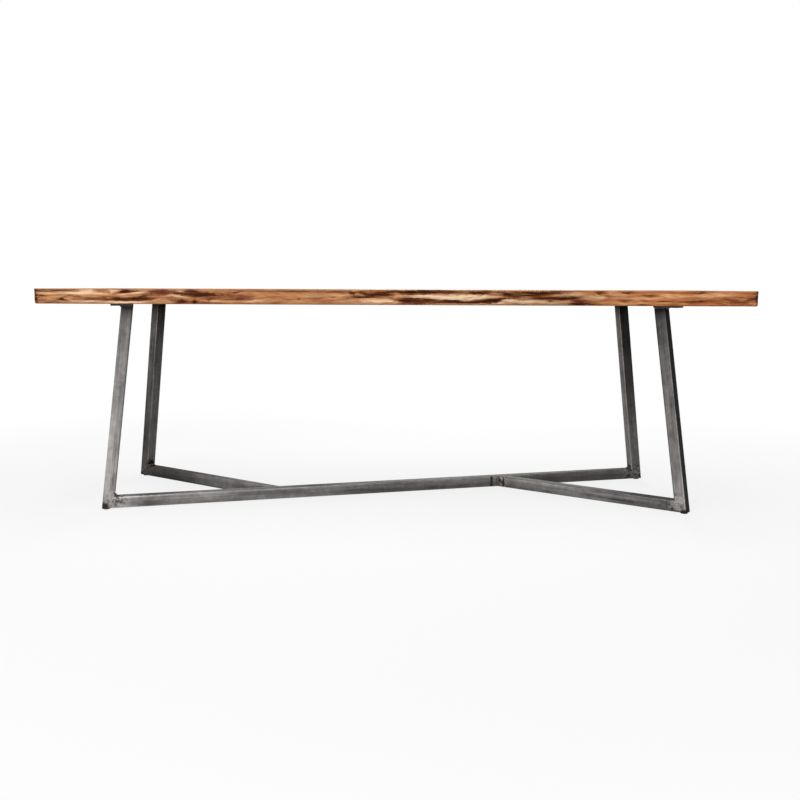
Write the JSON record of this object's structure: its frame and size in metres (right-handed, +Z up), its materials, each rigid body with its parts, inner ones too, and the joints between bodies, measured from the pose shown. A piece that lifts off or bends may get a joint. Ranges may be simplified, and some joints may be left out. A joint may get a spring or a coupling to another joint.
{
  "type": "writing desk",
  "caption": "Long live-edge wood desk top bolted on a welded square-tube steel base whose floor rails fork to leaning, splayed legs.",
  "frame": {"origin": "on the floor under the middle of the top", "axes": "+X along the top to the right of a person at the front, +Y to the back, +Z up"},
  "size_m": [2.4, 0.8003, 0.77],
  "materials": {
    "live_edge_wood": "oiled hardwood with the tree's own edge",
    "board_wood": "oiled hardwood",
    "raw_steel_tube": "brushed raw steel under clear lacquer",
    "plate_steel": "mill-scaled raw steel",
    "weld_metal": "dark unground weld beads",
    "black_plastic": "moulded black plastic",
    "zinc_steel": "zinc-plated steel",
    "insert_steel": "yellow-passivated zinc on steel"
  },
  "bodies": {
    "root": {"front_live_edge_board": "live_edge_wood", "middle_board": "board_wood", "rear_live_edge_board": "live_edge_wood", "long_floor_rail": "raw_steel_tube", "front_right_floor_rail": "raw_steel_tube", "rear_left_floor_rail": "raw_steel_tube", "front_left_leg": "raw_steel_tube", "front_right_leg": "raw_steel_tube", "rear_left_leg": "raw_steel_tube", "rear_right_leg": "raw_steel_tube", "front_left_top_plate": "plate_steel", "front_right_top_plate": "plate_steel", "rear_left_top_plate": "plate_steel", "rear_right_top_plate": "plate_steel", "front_left_corner_weld": "weld_metal", "front_right_corner_weld": "weld_metal", "rear_left_corner_weld": "weld_metal", "rear_right_corner_weld": "weld_metal", "front_left_plate_weld": "weld_metal", "front_right_plate_weld": "weld_metal", "rear_left_plate_weld": "weld_metal", "rear_right_plate_weld": "weld_metal", "front_right_rail_weld": "weld_metal", "rear_left_rail_weld": "weld_metal", "front_left_glide": "black_plastic", "front_right_glide": "black_plastic", "rear_left_glide": "black_plastic", "rear_right_glide": "black_plastic", "plate_bolts": "zinc_steel", "plate_washers": "zinc_steel", "threaded_inserts": "insert_steel"}
  },
  "joints": []
}
